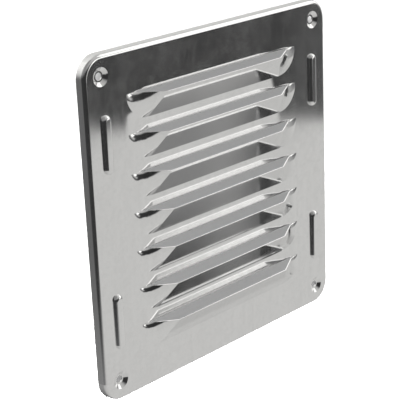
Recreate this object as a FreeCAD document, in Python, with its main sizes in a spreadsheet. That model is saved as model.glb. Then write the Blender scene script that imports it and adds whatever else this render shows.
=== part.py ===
import FreeCAD, Part
import math
import os
import Sketcher
from FreeCAD import Placement, Rotation, Vector

# Louvred ventilation panel pressed from one blank of thin sheet metal.
# Own frame: X across the panel, Z up, the visible face looks along -Y.
# The origin is the centre of the four screw holes, halfway through the sheet where the screws pass.
# The features are laid out from the plane of the visible face and the finished panel is then shifted.

doc = FreeCAD.newDocument("louvred_panel")

# ---------------------------------------------------------------- dimensions (mm, degrees)
DIMS = [
    ("sheet", 0.8),  # thickness of the blank
    ("panel_width", 200.0),
    ("panel_height", 200.0),
    ("rim_depth", 6.2),  # front face to the free edge of the turned-back rim
    ("corner_radius", 13.0),
    ("bend_radius", 2.2),  # outside radius of the rim bend
    ("hole_span", 176.0),  # square pattern of the screw holes
    ("screw_hole", 4.5),  # diameter
    ("dish_radius", 5.3),  # sunk cone at the face
    ("dish_floor", 3.0),  # its floor radius
    ("dish_depth", 1.7),
    ("bead_span", 173.4),  # stiffening beads, centre to centre across
    ("bead_high", 50.4),
    ("bead_low", 52.5),
    ("bead_length", 33.0),
    ("bead_width", 6.4),
    ("bead_height", 2.2),
    ("bead_round", 2.1),
    ("louvre_count", 7),
    ("louvre_pitch", 22.6),
    ("first_slit", 74.7),  # height of the top slit above the origin
    ("slit_half", 64.8),
    ("relief_half", 68.6),  # narrow end of the slit
    ("relief_gap", 0.3),
    ("lip_half", 47.6),  # half length of the raised free edge
    ("lip_out", 9.0),
    ("lip_drop", 1.5),
    ("fold_half", 55.3),
    ("fold_drop", 15.5),  # fold below the slit, and radius of the formed ends
    ("roll_half", 60.0),
    ("roll_start", 1.0),  # inward roll of the upper edge of each slit
    ("roll_radius", 1.5),
    ("roll_angle", 50.0),
]

sheet = doc.addObject("Spreadsheet::Sheet", "dims")
D = {}
for row, (alias, value) in enumerate(DIMS, start=1):
    sheet.set("A%d" % row, alias)
    sheet.set("B%d" % row, str(value))
    sheet.setAlias("B%d" % row, alias)
    D[alias] = value
doc.recompute()


def origin_feature(body, role):
    for item in body.Origin.OriginFeatures:
        if item.Role == role:
            return item
    raise RuntimeError("no origin feature " + role)


def new_sketch(body, name, role, offset=None):
    """Sketch on one of the body's own origin planes; offset is (value, expression) along its normal."""
    sk = body.newObject("Sketcher::SketchObject", name)
    sk.AttachmentSupport = [(origin_feature(body, role), "")]
    sk.MapMode = "FlatFace"
    if offset is not None:
        sk.AttachmentOffset = Placement(Vector(0, 0, offset[0]), Rotation())
        sk.setExpression("AttachmentOffset.Base.z", offset[1])
    return sk


def bind(sk, index, expression):
    sk.setExpression("Constraints[%d]" % index, expression)


def pin(sk, geo, pos, point, expressions):
    """Hold one end of a sketch curve at a point whose coordinates come from the sheet."""
    for axis, kind in ((0, "DistanceX"), (1, "DistanceY")):
        value = point[axis]
        text = expressions[axis]
        if abs(value) < 1e-9:
            ref = (-2, "y") if axis == 0 else (-1, "x")
            sk.addConstraint(Sketcher.Constraint("PointOnObject", geo, pos, ref[0]))
        elif value > 0:
            i = sk.addConstraint(Sketcher.Constraint(kind, -1, 1, geo, pos, value))
            bind(sk, i, text)
        else:
            i = sk.addConstraint(Sketcher.Constraint(kind, geo, pos, -1, 1, -value))
            bind(sk, i, "-(%s)" % text)


def outline(sk, corners, arcs=None):
    """Closed outline through the corners [(x, y, x expression, y expression)].
    arcs {side: (centre x, centre y, radius, expression, counterclockwise)} bends a side."""
    arcs = arcs or {}
    n = len(corners)
    for k in range(n):
        a, b = corners[k], corners[(k + 1) % n]
        if k in arcs:
            cx, cy, r, _, ccw = arcs[k]
            a0 = math.atan2(a[1] - cy, a[0] - cx)
            a1 = math.atan2(b[1] - cy, b[0] - cx)
            if not ccw:
                a0, a1 = a1, a0
            while a1 < a0:
                a1 += 2 * math.pi
            circle = Part.Circle(Vector(cx, cy, 0), Vector(0, 0, 1), r)
            sk.addGeometry(Part.ArcOfCircle(circle, a0, a1), False)
        else:
            sk.addGeometry(Part.LineSegment(Vector(a[0], a[1], 0), Vector(b[0], b[1], 0)), False)
    for k in range(n):
        nxt = (k + 1) % n
        end = 1 if (k in arcs and not arcs[k][4]) else 2
        start = 2 if (nxt in arcs and not arcs[nxt][4]) else 1
        sk.addConstraint(Sketcher.Constraint("Coincident", k, end, nxt, start))
    for k in range(n):
        start = 2 if (k in arcs and not arcs[k][4]) else 1
        c = corners[k]
        pin(sk, k, start, (c[0], c[1]), (c[2], c[3]))
    for k in arcs:
        i = sk.addConstraint(Sketcher.Constraint("Radius", k, arcs[k][2]))
        bind(sk, i, arcs[k][3])


def rounded_rectangle(sk, cx, cy, ex, ey, hw, hh, r, ew, eh, er):
    """Rounded rectangle centred on (cx, cy); hw, hh, r are half sizes and corner radius."""
    pts = [
        (cx - hw + r, cy - hh, "%s-(%s)+(%s)" % (ex, ew, er), "%s-(%s)" % (ey, eh)),
        (cx + hw - r, cy - hh, "%s+(%s)-(%s)" % (ex, ew, er), "%s-(%s)" % (ey, eh)),
        (cx + hw, cy - hh + r, "%s+(%s)" % (ex, ew), "%s-(%s)+(%s)" % (ey, eh, er)),
        (cx + hw, cy + hh - r, "%s+(%s)" % (ex, ew), "%s+(%s)-(%s)" % (ey, eh, er)),
        (cx + hw - r, cy + hh, "%s+(%s)-(%s)" % (ex, ew, er), "%s+(%s)" % (ey, eh)),
        (cx - hw + r, cy + hh, "%s-(%s)+(%s)" % (ex, ew, er), "%s+(%s)" % (ey, eh)),
        (cx - hw, cy + hh - r, "%s-(%s)" % (ex, ew), "%s+(%s)-(%s)" % (ey, eh, er)),
        (cx - hw, cy - hh + r, "%s-(%s)" % (ex, ew), "%s-(%s)+(%s)" % (ey, eh, er)),
    ]
    arcs = {
        1: (cx + hw - r, cy - hh + r, r, er, True),
        3: (cx + hw - r, cy + hh - r, r, er, True),
        5: (cx - hw + r, cy + hh - r, r, er, True),
        7: (cx - hw + r, cy - hh + r, r, er, True),
    }
    outline(sk, pts, arcs)


def stadium(sk, cx, cz, ex, ez, half_len, rad, el, er):
    """Upright slot with round ends, added to a sketch that may hold several."""
    base = sk.GeometryCount
    zt, zb = cz + half_len - rad, cz - half_len + rad
    sk.addGeometry(
        Part.ArcOfCircle(Part.Circle(Vector(cx, zt, 0), Vector(0, 0, 1), rad), 0, math.pi), False
    )
    sk.addGeometry(
        Part.LineSegment(Vector(cx - rad, zt, 0), Vector(cx - rad, zb, 0)), False
    )
    sk.addGeometry(
        Part.ArcOfCircle(
            Part.Circle(Vector(cx, zb, 0), Vector(0, 0, 1), rad), math.pi, 2 * math.pi
        ),
        False,
    )
    sk.addGeometry(
        Part.LineSegment(Vector(cx + rad, zb, 0), Vector(cx + rad, zt, 0)), False
    )
    sk.addConstraint(Sketcher.Constraint("Tangent", base, 2, base + 1, 1))
    sk.addConstraint(Sketcher.Constraint("Tangent", base + 1, 2, base + 2, 1))
    sk.addConstraint(Sketcher.Constraint("Tangent", base + 2, 2, base + 3, 1))
    sk.addConstraint(Sketcher.Constraint("Tangent", base + 3, 2, base, 1))
    sk.addConstraint(Sketcher.Constraint("Vertical", base + 1))
    i = sk.addConstraint(Sketcher.Constraint("Radius", base, rad))
    bind(sk, i, er)
    pin(sk, base, 3, (cx, zt), (ex, "%s+(%s)-(%s)" % (ez, el, er)))
    i = sk.addConstraint(Sketcher.Constraint("DistanceY", base + 2, 3, base, 3, zt - zb))
    bind(sk, i, "2*(%s)-2*(%s)" % (el, er))


def edges_where(shape, test):
    return ["Edge%d" % (i + 1) for i, e in enumerate(shape.Edges) if test(e)]


def lies_at_y(e, y, tol=1e-4):
    box = e.BoundBox
    return abs(box.YMin - y) < tol and abs(box.YMax - y) < tol


# ---------------------------------------------------------------- pressed tray
body = doc.addObject("PartDesign::Body", "tray")
body.Label = "tray"

sk = new_sketch(body, "outline_sketch", "XZ_Plane")
rounded_rectangle(
    sk, 0, 0, "0", "0",
    D["panel_width"] / 2, D["panel_height"] / 2, D["corner_radius"],
    "dims.panel_width/2", "dims.panel_height/2", "dims.corner_radius",
)
blank = body.newObject("PartDesign::Pad", "rim_block")
blank.Profile = sk
blank.Reversed = True
blank.setExpression("Length", "dims.rim_depth")
doc.recompute()

bend = body.newObject("PartDesign::Fillet", "rim_bend")
bend.Base = (blank, edges_where(blank.Shape, lambda e: lies_at_y(e, 0.0)))
bend.setExpression("Radius", "dims.bend_radius")
doc.recompute()

sk = new_sketch(body, "inside_sketch", "XZ_Plane", (-D["sheet"], "-dims.sheet"))
rounded_rectangle(
    sk, 0, 0, "0", "0",
    D["panel_width"] / 2 - D["sheet"], D["panel_height"] / 2 - D["sheet"],
    D["corner_radius"] - D["sheet"],
    "dims.panel_width/2-dims.sheet", "dims.panel_height/2-dims.sheet",
    "dims.corner_radius-dims.sheet",
)
hollow = body.newObject("PartDesign::Pocket", "back_hollow")
hollow.Profile = sk
hollow.setExpression("Length", "dims.rim_depth")
doc.recompute()
inner = body.newObject("PartDesign::Fillet", "inner_bend")
inner.Base = (
    hollow,
    edges_where(hollow.Shape, lambda e: lies_at_y(e, D["sheet"])),
)
inner.setExpression("Radius", "dims.bend_radius-dims.sheet")
doc.recompute()
print("tray volume", round(inner.Shape.Volume, 1))

# ---------------------------------------------------------------- stiffening beads
bead_places = [
    (D["bead_span"] / 2, D["bead_high"], "dims.bead_span/2", "dims.bead_high"),
    (-D["bead_span"] / 2, D["bead_high"], "-dims.bead_span/2", "dims.bead_high"),
    (D["bead_span"] / 2, -D["bead_low"], "dims.bead_span/2", "-dims.bead_low"),
    (-D["bead_span"] / 2, -D["bead_low"], "-dims.bead_span/2", "-dims.bead_low"),
]
sk = new_sketch(body, "bead_sketch", "XZ_Plane", (-D["sheet"] / 2, "-dims.sheet/2"))
for x, z, ex, ez in bead_places:
    stadium(
        sk, x, z, ex, ez, D["bead_length"] / 2, D["bead_width"] / 2,
        "dims.bead_length/2", "dims.bead_width/2",
    )
bead = body.newObject("PartDesign::Pad", "beads")
bead.Profile = sk
bead.setExpression("Length", "dims.bead_height+dims.sheet/2")
doc.recompute()
bead_top = body.newObject("PartDesign::Fillet", "bead_crowns")
bead_top.Base = (bead, edges_where(bead.Shape, lambda e: lies_at_y(e, -D["bead_height"])))
bead_top.setExpression("Radius", "dims.bead_round")
doc.recompute()

sk = new_sketch(
    body, "bead_inside_sketch", "XZ_Plane",
    (D["bead_height"] - D["sheet"], "dims.bead_height-dims.sheet"),
)
for x, z, ex, ez in bead_places:
    stadium(
        sk, x, z, ex, ez,
        D["bead_length"] / 2 - D["sheet"], D["bead_width"] / 2 - D["sheet"],
        "dims.bead_length/2-dims.sheet", "dims.bead_width/2-dims.sheet",
    )
bead_in = body.newObject("PartDesign::Pocket", "bead_hollows")
bead_in.Profile = sk
bead_in.setExpression("Length", "dims.bead_height+dims.sheet")
doc.recompute()
bead_in_top = body.newObject("PartDesign::Fillet", "bead_inner_crowns")
bead_in_top.Base = (
    bead_in,
    edges_where(bead_in.Shape, lambda e: lies_at_y(e, D["sheet"] - D["bead_height"])),
)
bead_in_top.setExpression("Radius", "dims.bead_round-dims.sheet")
doc.recompute()
print("with beads", round(bead_in_top.Shape.Volume, 1))

# ---------------------------------------------------------------- sunk screw holes
slope = (D["dish_radius"] - D["dish_floor"]) / D["dish_depth"]
cone_gap = D["sheet"] * math.sqrt(1 + slope * slope)
GAP = "dims.sheet*sqrt(1+pow((dims.dish_radius-dims.dish_floor)/dims.dish_depth;2))"
SLOPE = "((dims.dish_radius-dims.dish_floor)/dims.dish_depth)"


def at_corner(feature):
    feature.AttachmentSupport = [(origin_feature(body, "XZ_Plane"), "")]
    feature.MapMode = "FlatFace"
    feature.AttachmentOffset = Placement(
        Vector(D["hole_span"] / 2, D["hole_span"] / 2, 0), Rotation(Vector(1, 0, 0), 180)
    )
    feature.setExpression("AttachmentOffset.Base.x", "dims.hole_span/2")
    feature.setExpression("AttachmentOffset.Base.y", "dims.hole_span/2")


dish = body.newObject("PartDesign::AdditiveCone", "dish")
at_corner(dish)
dish.setExpression("Radius1", "dims.dish_radius+" + GAP)
dish.setExpression("Height", "dims.dish_depth+dims.sheet")
dish.setExpression(
    "Radius2", "dims.dish_radius+" + GAP + "-" + SLOPE + "*(dims.dish_depth+dims.sheet)"
)
doc.recompute()
sink = body.newObject("PartDesign::SubtractiveCone", "dish_hollow")
at_corner(sink)
sink.setExpression("Radius1", "dims.dish_radius")
sink.setExpression("Radius2", "dims.dish_floor")
sink.setExpression("Height", "dims.dish_depth")
doc.recompute()
bore = body.newObject("PartDesign::SubtractiveCylinder", "screw_hole")
at_corner(bore)
bore.setExpression("Radius", "dims.screw_hole/2")
bore.setExpression("Height", "2*(dims.dish_depth+dims.sheet)")
doc.recompute()

corners = body.newObject("PartDesign::MultiTransform", "screw_holes")
corners.Originals = [dish, sink, bore]
steps = []
for name, role in (("across", "X_Axis"), ("down", "Z_Axis")):
    step = body.newObject("PartDesign::LinearPattern", "screw_holes_" + name)
    step.Direction = (origin_feature(body, role), [""])
    step.Reversed = True
    step.setExpression("Length", "dims.hole_span")
    step.Occurrences = 2
    steps.append(step)
corners.Transformations = steps
body.Tip = corners
doc.recompute()
print("with screw holes", round(corners.Shape.Volume, 1))

# ---------------------------------------------------------------- slits and rolled upper edges
Z0 = D["first_slit"]
EZ0 = "dims.first_slit"
end_foot = D["fold_half"] + D["fold_drop"]
half = [
    (end_foot, 0.0, "dims.fold_half+dims.fold_drop", ""),
    (D["relief_half"], 0.0, "dims.relief_half", ""),
    (D["relief_half"], D["relief_gap"], "dims.relief_half", "+dims.relief_gap"),
    (D["slit_half"], D["relief_gap"], "dims.slit_half", "+dims.relief_gap"),
    (D["slit_half"], 2 * D["relief_gap"], "dims.slit_half", "+2*dims.relief_gap"),
    (D["roll_half"], D["roll_start"], "dims.roll_half", "+dims.roll_start"),
]
pts = [(x, Z0 + z, ex, EZ0 + ez) for x, z, ex, ez in half]
pts += [(-x, Z0 + z, "-(%s)" % ex, EZ0 + ez) for x, z, ex, ez in reversed(half)]
pts += [
    (-D["fold_half"], Z0 - D["fold_drop"], "-dims.fold_half", EZ0 + "-dims.fold_drop"),
    (D["fold_half"], Z0 - D["fold_drop"], "dims.fold_half", EZ0 + "-dims.fold_drop"),
]
sk = new_sketch(body, "slit_sketch", "XZ_Plane")
outline(
    sk, pts,
    {
        11: (-D["fold_half"], Z0, D["fold_drop"], "dims.fold_drop", True),
        13: (D["fold_half"], Z0, D["fold_drop"], "dims.fold_drop", True),
    },
)
slit = body.newObject("PartDesign::Pocket", "slit")
slit.Profile = sk
slit.setExpression("Length", "dims.sheet*2")
doc.recompute()
print("one slit", round(slit.Shape.Volume, 1))

ang = math.radians(D["roll_angle"])
R = D["roll_radius"]
r_in = R - D["sheet"]
COS = "cos(dims.roll_angle*1deg)"
SIN = "sin(dims.roll_angle*1deg)"
ZR = "dims.first_slit+dims.roll_start"


def roll_section(name, sign):
    s = new_sketch(
        body, name, "YZ_Plane",
        (sign * D["roll_half"], "%sdims.roll_half" % ("-" if sign < 0 else "")),
    )
    zr = Z0 + D["roll_start"]
    pts = [
        (0.0, zr, "0", ZR),
        (R * (1 - math.cos(ang)), zr - R * math.sin(ang),
         "dims.roll_radius*(1-%s)" % COS, ZR + "-dims.roll_radius*" + SIN),
        (R - r_in * math.cos(ang), zr - r_in * math.sin(ang),
         "dims.roll_radius-(dims.roll_radius-dims.sheet)*" + COS,
         ZR + "-(dims.roll_radius-dims.sheet)*" + SIN),
        (D["sheet"], zr, "dims.sheet", ZR),
    ]
    outline(
        s, pts,
        {
            0: (R, zr, R, "dims.roll_radius", True),
            2: (R, zr, r_in, "dims.roll_radius-dims.sheet", False),
        },
    )
    return s


def end_section(name, sign):
    s = new_sketch(
        body, name, "YZ_Plane",
        (sign * D["slit_half"], "%sdims.slit_half" % ("-" if sign < 0 else "")),
    )
    g = D["relief_gap"]
    outline(
        s,
        [
            (0.0, Z0 + 2 * g, "0", EZ0 + "+2*dims.relief_gap"),
            (0.0, Z0 + g, "0", EZ0 + "+dims.relief_gap"),
            (D["sheet"], Z0 + g, "dims.sheet", EZ0 + "+dims.relief_gap"),
            (D["sheet"], Z0 + 2 * g, "dims.sheet", EZ0 + "+2*dims.relief_gap"),
        ],
    )
    return s


roll_a = end_section("roll_end_left", -1)
roll_b = roll_section("roll_left", -1)
roll_c = roll_section("roll_right", 1)
roll_d = end_section("roll_end_right", 1)
doc.recompute()
roll = body.newObject("PartDesign::AdditiveLoft", "rolled_edge")
roll.Profile = roll_a
roll.Sections = [roll_b, roll_c, roll_d]
roll.Ruled = True
doc.recompute()
print("one rolled edge", round(roll.Shape.Volume, 1))

rows = body.newObject("PartDesign::LinearPattern", "slit_rows")
rows.Originals = [slit, roll]
rows.Direction = (origin_feature(body, "Z_Axis"), [""])
rows.Reversed = True
rows.setExpression("Length", "(dims.louvre_count-1)*dims.louvre_pitch")
rows.Occurrences = int(D["louvre_count"])
body.Tip = rows
doc.recompute()
print("all slits", round(rows.Shape.Volume, 1), len(rows.Shape.Solids))

# ---------------------------------------------------------------- raised louvre hoods


def line(name, a, b):
    """Straight edge between two points given as expressions."""
    obj = doc.addObject("Part::Line", name)
    for key, text in zip(("X1", "Y1", "Z1", "X2", "Y2", "Z2"), a + b):
        obj.setExpression(key, text)
    return obj


LIP = ("-dims.lip_out", "-dims.lip_drop")
lip = line("lip_line", ("-dims.lip_half",) + LIP, ("dims.lip_half",) + LIP)
fold = line(
    "fold_line",
    ("-dims.fold_half", "0", "-dims.fold_drop"),
    ("dims.fold_half", "0", "-dims.fold_drop"),
)
skins = []
flap = doc.addObject("Part::RuledSurface", "flap_face")
flap.Curve1 = (lip, ["Edge1"])
flap.Curve2 = (fold, ["Edge1"])
skins.append(flap)
for side, sign in (("left", "-"), ("right", "")):
    edge = line(
        "lip_slope_" + side,
        (sign + "dims.lip_half",) + LIP,
        (sign + "dims.slit_half", "0", "0"),
    )
    foot = doc.addObject("Part::Circle", "formed_end_" + side)
    foot.setExpression("Radius", "dims.fold_drop")
    # local X of the arc points down, local Y points outward along the panel
    if sign:
        foot.Placement = Placement(
            Vector(-D["fold_half"], 0, 0),
            Rotation(Vector(0, 0, -1), Vector(-1, 0, 0), Vector(0, 1, 0), "XYZ"),
        )
    else:
        foot.Placement = Placement(
            Vector(D["fold_half"], 0, 0),
            Rotation(Vector(0, 0, -1), Vector(1, 0, 0), Vector(0, -1, 0), "XYZ"),
        )
    foot.setExpression("Placement.Base.x", sign + "dims.fold_half")
    foot.Angle1 = 0
    foot.Angle2 = 90
    cheek = doc.addObject("Part::RuledSurface", "cheek_" + side)
    cheek.Curve1 = (edge, ["Edge1"])
    cheek.Curve2 = (foot, ["Edge1"])
    skins.append(cheek)
doc.recompute()

walls = []
for skin in skins:
    wall = doc.addObject("Part::Extrusion", skin.Name + "_wall")
    wall.Base = skin
    wall.DirMode = "Custom"
    wall.Dir = Vector(0, 1, 0)
    wall.Solid = True
    wall.setExpression("LengthFwd", "dims.sheet")
    walls.append(wall)
doc.recompute()
hood = doc.addObject("Part::MultiFuse", "hood")
hood.Shapes = walls
doc.recompute()
print("hood", round(hood.Shape.Volume, 1), hood.Shape.isValid(), len(hood.Shape.Solids))

hoods = []
for k in range(int(D["louvre_count"])):
    copy = doc.addObject("Part::Compound", "hood_row_%d" % (k + 1))
    copy.Links = [hood]
    copy.Placement = Placement(Vector(0, 0, Z0 - k * D["louvre_pitch"]), Rotation())
    copy.setExpression("Placement.Base.z", "dims.first_slit-%d*dims.louvre_pitch" % k)
    hoods.append(copy)
doc.recompute()

# ---------------------------------------------------------------- one sheet
panel = doc.addObject("Part::MultiFuse", "panel")
panel.Label = "louvred_panel"
panel.Shapes = [body] + hoods
panel.Refine = True
panel.Placement = Placement(Vector(0, -D["dish_depth"] - D["sheet"] / 2, 0), Rotation())
panel.setExpression("Placement.Base.y", "-dims.dish_depth-dims.sheet/2")
doc.recompute()

# ---------------------------------------------------------------- checks and export
for obj in doc.Objects:
    if "Invalid" in obj.State or "Error" in obj.State:
        raise RuntimeError("failed object " + obj.Name)
shape = panel.Shape
if shape.isNull() or not shape.isValid():
    raise RuntimeError("louvred_panel is not valid")
if len(shape.Solids) != 1:
    raise RuntimeError("louvred_panel has %d solids" % len(shape.Solids))
box = shape.BoundBox
print(
    "louvred_panel volume %.1f box x %.2f..%.2f y %.2f..%.2f z %.2f..%.2f faces %d"
    % (shape.Volume, box.XMin, box.XMax, box.YMin, box.YMax, box.ZMin, box.ZMax, len(shape.Faces))
)
os.makedirs("parts", exist_ok=True)
shape.Solids[0].exportStep("parts/louvred_panel.step")
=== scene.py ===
import math

import bpy
from mathutils import Matrix, Vector


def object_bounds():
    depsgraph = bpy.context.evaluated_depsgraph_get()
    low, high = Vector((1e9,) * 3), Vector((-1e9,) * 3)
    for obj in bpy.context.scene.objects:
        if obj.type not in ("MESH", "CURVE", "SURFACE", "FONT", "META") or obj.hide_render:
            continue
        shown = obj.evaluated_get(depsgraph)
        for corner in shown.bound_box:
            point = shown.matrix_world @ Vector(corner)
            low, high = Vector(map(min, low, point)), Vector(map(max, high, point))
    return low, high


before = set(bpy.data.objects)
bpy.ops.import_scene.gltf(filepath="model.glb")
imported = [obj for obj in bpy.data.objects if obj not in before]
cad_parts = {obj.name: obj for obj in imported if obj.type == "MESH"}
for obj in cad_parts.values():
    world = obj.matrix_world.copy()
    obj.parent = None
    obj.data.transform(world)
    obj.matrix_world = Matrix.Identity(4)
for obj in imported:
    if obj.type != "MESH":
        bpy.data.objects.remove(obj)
cad_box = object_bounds()
scene = bpy.context.scene
scene.view_settings.view_transform = "Standard"
scene.view_settings.look = "None"

# ------------------------------------------------------------------ helpers


def grey(v):
    """Linear value of a display grey 0..255."""
    c = v / 255.0
    return c / 12.92 if c <= 0.04045 else ((c + 0.055) / 1.055) ** 2.4


class Net:
    """Short way to write node trees."""

    def __init__(self, tree):
        self.tree = tree
        self.nodes = tree.nodes
        self.nodes.clear()

    def node(self, kind, **props):
        n = self.nodes.new(kind)
        for k, v in props.items():
            setattr(n, k, v)
        return n

    def link(self, a, b):
        self.tree.links.new(a, b)

    def put(self, socket, value):
        if isinstance(value, bpy.types.NodeSocket):
            self.link(value, socket)
        else:
            socket.default_value = value

    def math(self, op, a, b=None, c=None, clamp=False):
        n = self.node("ShaderNodeMath", operation=op, use_clamp=clamp)
        self.put(n.inputs[0], a)
        if b is not None:
            self.put(n.inputs[1], b)
        if c is not None:
            self.put(n.inputs[2], c)
        return n.outputs[0]

    def smooth(self, x, lo, hi, out_lo=0.0, out_hi=1.0):
        n = self.node("ShaderNodeMapRange", interpolation_type="SMOOTHSTEP")
        self.put(n.inputs["Value"], x)
        self.put(n.inputs["From Min"], lo)
        self.put(n.inputs["From Max"], hi)
        self.put(n.inputs["To Min"], out_lo)
        self.put(n.inputs["To Max"], out_hi)
        return n.outputs["Result"]

    def ramp(self, x, stops, interpolation="LINEAR"):
        n = self.node("ShaderNodeValToRGB")
        n.color_ramp.interpolation = interpolation
        el = n.color_ramp.elements
        while len(el) < len(stops):
            el.new(0.5)
        for e, (pos, v) in zip(el, stops):
            e.position = pos
            e.color = (v, v, v, 1)
        self.put(n.inputs["Fac"], x)
        return n.outputs["Color"]

    def mix(self, f, a, b):
        n = self.node("ShaderNodeMix", data_type="FLOAT")
        self.put(n.inputs[0], f)
        self.put(n.inputs[2], a)
        self.put(n.inputs[3], b)
        return n.outputs[0]


# ------------------------------------------------------------------ studio
lo, hi = cad_box
floor_z = lo.z

mesh = bpy.data.meshes.new("floor")
near, far = -0.5, 1.1
mesh.from_pydata(
    [(near, near, floor_z), (far, near, floor_z), (far, far, floor_z), (near, far, floor_z)], [], [(0, 1, 2, 3)]
)
floor = bpy.data.objects.new("floor", mesh)
scene.collection.objects.link(floor)
mat = bpy.data.materials.new("floor_paper")
mat.use_nodes = True
mesh.materials.append(mat)
net = Net(mat.node_tree)
bsdf = net.node("ShaderNodeBsdfPrincipled")
bsdf.inputs["Roughness"].default_value = 0.9
bsdf.inputs["Specular IOR Level"].default_value = 0.1
bsdf.inputs["Base Color"].default_value = (0.86, 0.86, 0.86, 1)
out = net.node("ShaderNodeOutputMaterial")
net.link(bsdf.outputs[0], out.inputs["Surface"])
floor.visible_glossy = False

world = bpy.data.worlds.new("studio_world")
scene.world = world
world.use_nodes = True
bg = world.node_tree.nodes["Background"]
bg.inputs["Color"].default_value = (1, 1, 1, 1)
bg.inputs["Strength"].default_value = 1.0
world.cycles_visibility.diffuse = False
world.cycles_visibility.glossy = False
world.cycles_visibility.transmission = False


def area(name, at, aim, size_x, size_y, power, even=False):
    data = bpy.data.lights.new(name, "AREA")
    data.shape = "RECTANGLE"
    data.size, data.size_y = size_x, size_y
    data.energy = power
    if even:
        data.use_nodes = True
        tree = Net(data.node_tree)
        fall = tree.node("ShaderNodeLightFalloff")
        fall.inputs["Strength"].default_value = 1.0
        glow = tree.node("ShaderNodeEmission")
        tree.link(fall.outputs["Constant"], glow.inputs["Strength"])
        end = tree.node("ShaderNodeOutputLight")
        tree.link(glow.outputs[0], end.inputs["Surface"])
    obj = bpy.data.objects.new(name, data)
    obj.location = at
    obj.rotation_mode = "QUATERNION"
    obj.rotation_quaternion = (Vector(aim) - Vector(at)).to_track_quat("-Z", "Y")
    obj.visible_glossy = False
    obj.visible_camera = False
    scene.collection.objects.link(obj)
    return obj


view_dir = Vector((-0.6898, -0.6507, 0.3204)).normalized()
area("key_light", view_dir * 0.85, (0, 0, 0), 0.035, 0.035, 64, even=True)
area("top_light", (0.2, 0.2, 2.6), (0, 0, floor_z), 3.0, 3.0, 37)

# a blind behind the panel keeps the key light that comes through the louvres off the floor
mesh = bpy.data.meshes.new("blind")
x0, x1, z0, z1 = -0.0935, 0.1065, -0.0995, 0.0975
mesh.from_pydata([(x0, 0.006, z0), (x1, 0.006, z0), (x1, 0.006, z1), (x0, 0.006, z1)], [], [(0, 1, 2, 3)])
blind = bpy.data.objects.new("blind", mesh)
scene.collection.objects.link(blind)
blind.visible_camera = False
blind.visible_glossy = False
blind.visible_diffuse = False
blind.visible_transmission = False

# Surroundings that only the metal's reflections see: a pale table in front with a painted shadow of the panel
# on it behind-right, a dim room above its edge, one softbox in the dimness and brighter ceiling and back.
bpy.ops.mesh.primitive_uv_sphere_add(segments=96, ring_count=48, radius=2.5, location=(0, 0, 0))
dome = bpy.context.active_object
dome.name = "studio_dome"
dome.visible_camera = False
dome.visible_diffuse = False
dome.visible_shadow = False
dome.visible_transmission = False
dome.visible_volume_scatter = False
mat = bpy.data.materials.new("studio_dome")
mat.use_nodes = True
net = Net(mat.node_tree)
tc = net.node("ShaderNodeTexCoord")
nrm = net.node("ShaderNodeVectorMath", operation="NORMALIZE")
net.link(tc.outputs["Object"], nrm.inputs[0])
sep = net.node("ShaderNodeSeparateXYZ")
net.link(nrm.outputs[0], sep.inputs[0])
elev = net.math("MULTIPLY", net.math("ARCSINE", sep.outputs["Z"]), 180 / math.pi)
back = net.math("MULTIPLY", sep.outputs["Y"], -1.0)
azim = net.math("MULTIPLY", net.math("ARCTAN2", sep.outputs["X"], back), 180 / math.pi)
a01 = net.math("MULTIPLY_ADD", azim, 1 / 360.0, 0.5)


def by_azimuth(*points, display=True):
    """Value that changes with the azimuth (0 is the panel's front, +90 its right)."""
    stops = [((a + 180) / 360.0, grey(v) if display else v) for a, v in points]
    return net.ramp(a01, stops)


def card(value, az0, az1, el0, el1, grey_level, soft=2.0, strength=1.0):
    """A soft-edged card, softbox or patch of painted shade between two azimuths and two elevations."""
    m = net.math(
        "MULTIPLY",
        net.smooth(azim, az0 - soft, az0 + soft),
        net.smooth(azim, az1 - soft, az1 + soft, 1.0, 0.0),
    )
    n = net.math(
        "MULTIPLY",
        net.smooth(elev, el0 - soft, el0 + soft),
        net.smooth(elev, el1 - soft, el1 + soft, 1.0, 0.0),
    )
    m = net.math("MULTIPLY", net.math("MULTIPLY", m, n), strength)
    return net.mix(m, value, grey(grey_level))


# table edge: elevation and softness of the change from the pale table to the dim room
edge = by_azimuth(
    (-180, 60 / 90), (-150, 62 / 90), (-130, 63 / 90), (-90, 61 / 90), (-60, 62 / 90), (-30, 65 / 90),
    (-10, 66 / 90), (0, 69.5 / 90), (12, 74.6 / 90), (38, 75.2 / 90), (80, 75.7 / 90), (100, 74 / 90),
    (112, 66 / 90), (180, 60 / 90), display=False,
)
edge = net.math("MULTIPLY_ADD", edge, 90.0, -90.0)
soft = by_azimuth(
    (-180, 0.9), (-100, 0.7), (-60, 0.45), (-20, 0.42), (0, 0.35), (20, 0.12), (38, 0.05), (80, 0.05),
    (110, 0.3), (180, 0.9), display=False,
)
soft = net.math("MULTIPLY", soft, 10.0)
# the table's dark stretch around azimuths 118 to 131 is a painted shadow of the panel on the table, seen only in
# reflections
table_and_panel_shadow = by_azimuth(
    (-180, 120), (-140, 150), (-90, 185), (20, 205), (80, 205), (105, 180), (118, 95), (131, 95), (134, 150), (180, 120),
)
room = by_azimuth(
    (-180, 120), (-130, 100), (-105, 55), (0, 45), (20, 60), (50, 60), (75, 150), (130, 210), (180, 140),
)
low = net.math("SUBTRACT", edge, soft)
high = net.math("ADD", edge, soft)
val = net.mix(net.smooth(elev, low, high), table_and_panel_shadow, room)

# the ceiling takes over from the dim room
ceiling = by_azimuth(
    (-180, 235), (-150, 225), (-110, 150), (-60, 130), (25, 190), (100, 190), (180, 235),
)
start = by_azimuth((-180, 0.1), (-140, 0.15), (-100, 0.3), (-20, 0.5), (10, 0.4), (40, 0.35), (90, 0.15), (180, 0.1), display=False)
start = net.math("MULTIPLY", start, 50.0)
val = net.mix(net.smooth(elev, net.math("SUBTRACT", start, 12.0), net.math("ADD", start, 12.0)), val, ceiling)
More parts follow.
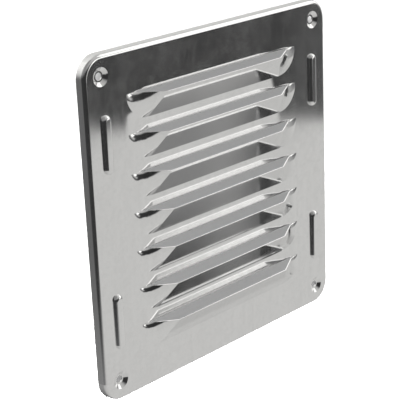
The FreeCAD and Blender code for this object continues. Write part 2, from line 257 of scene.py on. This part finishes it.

# cards and softboxes; the three behind-right below the horizon (azimuths 120 to 166) are painted shade, carrying
# on the panel's painted shadow on the table
val = card(val, 16, 36, -11, -4, 185, 3.0)
val = card(val, 24, 54, -5.5, 14, 285, 2.5)
val = card(val, 42, 98, 10, 54, 285, 5.0)
val = card(val, -172, -140, 8, 60, 260, 8.0)
# painted shade: darker patches behind-right below the horizon, seen only in reflections
val = card(val, 120, 132, -40, -12, 60, 2.5)
val = card(val, 132, 152, -28, -12, 140, 2.5)
val = card(val, 133, 166, -46, -21, 60, 3.0)

emit = net.node("ShaderNodeEmission")
net.link(val, emit.inputs["Strength"])
warm = net.node("ShaderNodeMix", data_type="RGBA")
net.link(net.smooth(val, 0.1, 0.5), warm.inputs[0])
warm.inputs[6].default_value = (1, 1, 1, 1)
warm.inputs[7].default_value = (1.0, 0.994, 0.972, 1)
net.link(warm.outputs[2], emit.inputs["Color"])
out = net.node("ShaderNodeOutputMaterial")
net.link(emit.outputs[0], out.inputs["Surface"])
dome.data.materials.clear()
dome.data.materials.append(mat)

# ------------------------------------------------------------------ bright rolled aluminium
mat = bpy.data.materials.new("rolled_aluminium")
mat.use_nodes = True
net = Net(mat.node_tree)
tc = net.node("ShaderNodeTexCoord")


def stretched(sx, sy, sz, scale, detail=3.0, rough=0.55):
    m = net.node("ShaderNodeMapping")
    m.inputs["Scale"].default_value = (sx, sy, sz)
    net.link(tc.outputs["Object"], m.inputs["Vector"])
    t = net.node("ShaderNodeTexNoise")
    t.inputs["Scale"].default_value = scale
    t.inputs["Detail"].default_value = detail
    t.inputs["Roughness"].default_value = rough
    net.link(m.outputs[0], t.inputs["Vector"])
    return t.outputs["Fac"]


grain = stretched(1.0, 1.0, 0.02, 2200.0, 2.0)
streak = stretched(1.0, 1.0, 0.05, 330.0, 3.0)
cloud = stretched(1.0, 1.0, 0.5, 26.0, 4.0)
mottle = stretched(1.0, 1.0, 1.0, 190.0, 6.0, 0.7)

col = net.ramp(
    net.math("MULTIPLY_ADD", streak, 0.5, net.math("MULTIPLY", cloud, 0.5)),
    [(0.35, 0.865), (0.65, 0.90)],
)
bs = net.node("ShaderNodeBsdfPrincipled")
net.link(col, bs.inputs["Base Color"])
bs.inputs["Metallic"].default_value = 1.0
rough = net.math("ADD", net.smooth(cloud, 0.35, 0.7, 0.045, 0.075), net.smooth(streak, 0.3, 0.7, 0.0, 0.015))
net.link(rough, bs.inputs["Roughness"])
# the strips between the hoods are drawn slightly downwards
pos = net.node("ShaderNodeSeparateXYZ")
net.link(tc.outputs["Object"], pos.inputs[0])
geo = net.node("ShaderNodeNewGeometry")
face = net.node("ShaderNodeSeparateXYZ")
net.link(geo.outputs["Normal"], face.inputs[0])
flat_face = net.smooth(face.outputs["Y"], -0.999, -0.98, 1.0, 0.0)
middle = net.math(
    "MULTIPLY",
    net.smooth(pos.outputs["X"], -0.074, -0.062),
    net.smooth(pos.outputs["X"], 0.042, 0.058, 1.0, 0.0),
)
below_first = net.smooth(pos.outputs["Z"], 0.062, 0.066, 1.0, 0.0)
above_last = net.smooth(pos.outputs["Z"], -0.082, -0.075)
mask = net.math("MULTIPLY", flat_face, net.math("MULTIPLY", middle, net.math("MULTIPLY", below_first, above_last)))
drop = net.node("ShaderNodeCombineXYZ")
net.link(net.math("MULTIPLY", mask, -0.05), drop.inputs["Z"])
tilt = net.node("ShaderNodeVectorMath", operation="ADD")
net.link(geo.outputs["Normal"], tilt.inputs[0])
net.link(drop.outputs[0], tilt.inputs[1])
unit = net.node("ShaderNodeVectorMath", operation="NORMALIZE")
net.link(tilt.outputs[0], unit.inputs[0])

bump = net.node("ShaderNodeBump")
net.link(unit.outputs[0], bump.inputs["Normal"])
bump.inputs["Strength"].default_value = 0.12
bump.inputs["Distance"].default_value = 0.00001
net.link(grain, bump.inputs["Height"])
net.link(bump.outputs[0], bs.inputs["Normal"])
haze = net.node("ShaderNodeBsdfPrincipled")
haze.inputs["Base Color"].default_value = (0.86, 0.86, 0.86, 1)
haze.inputs["Metallic"].default_value = 1.0
haze.inputs["Roughness"].default_value = 0.42
blend = net.node("ShaderNodeMixShader")
spots = net.smooth(mottle, 0.40, 0.66, 0.0, 0.07)
net.link(net.math("ADD", net.smooth(cloud, 0.32, 0.72, 0.0, 0.09), spots), blend.inputs[0])
net.link(bs.outputs[0], blend.inputs[1])
net.link(haze.outputs[0], blend.inputs[2])
out = net.node("ShaderNodeOutputMaterial")
net.link(blend.outputs[0], out.inputs["Surface"])

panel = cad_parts["louvred_panel"]
for slot in panel.material_slots:
    slot.material = mat

# ------------------------------------------------------------------ camera
cam_data = bpy.data.cameras.new("camera")
cam_data.sensor_width = 36.0
cam_data.lens = 118.351
cam_data.clip_start = 0.01
cam_data.clip_end = 50
cam = bpy.data.objects.new("camera", cam_data)
M = Matrix(
    (
        (0.685684, 0.264062, -0.678313, -0.535828),
        (-0.726686, 0.194538, -0.658850, -0.505456),
        (-0.042019, 0.944683, 0.325282, 0.248831),
        (0, 0, 0, 1),
    )
)
cam.matrix_world = M
scene.collection.objects.link(cam)
scene.camera = cam
